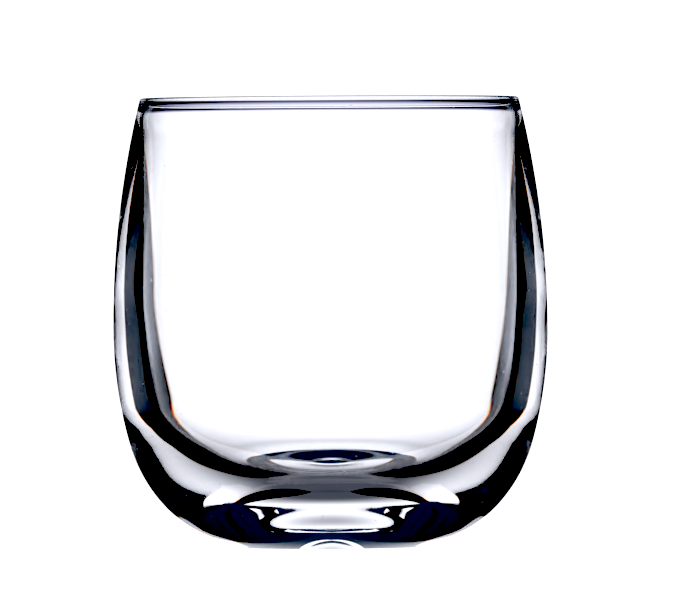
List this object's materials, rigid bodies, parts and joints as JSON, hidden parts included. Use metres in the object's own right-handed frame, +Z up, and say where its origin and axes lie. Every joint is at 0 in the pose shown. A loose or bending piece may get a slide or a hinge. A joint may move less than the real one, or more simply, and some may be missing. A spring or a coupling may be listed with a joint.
{
  "type": "whiskey tumbler",
  "caption": "Heavy clear glass tumbler with a barrel-shaped wall, rounded bowl, thick base and a shallow recess underneath.",
  "frame": {"origin": "middle of the base, on the plane the glass stands on", "axes": "+Z up along the axis of the turned body, from the foot towards the mouth"},
  "size_m": [0.0922, 0.0922, 0.095],
  "materials": {
    "clear_glass": "clear, fire-polished, smooth and glossy"
  },
  "bodies": {
    "root": {"tumbler_body": "clear_glass"}
  },
  "joints": []
}
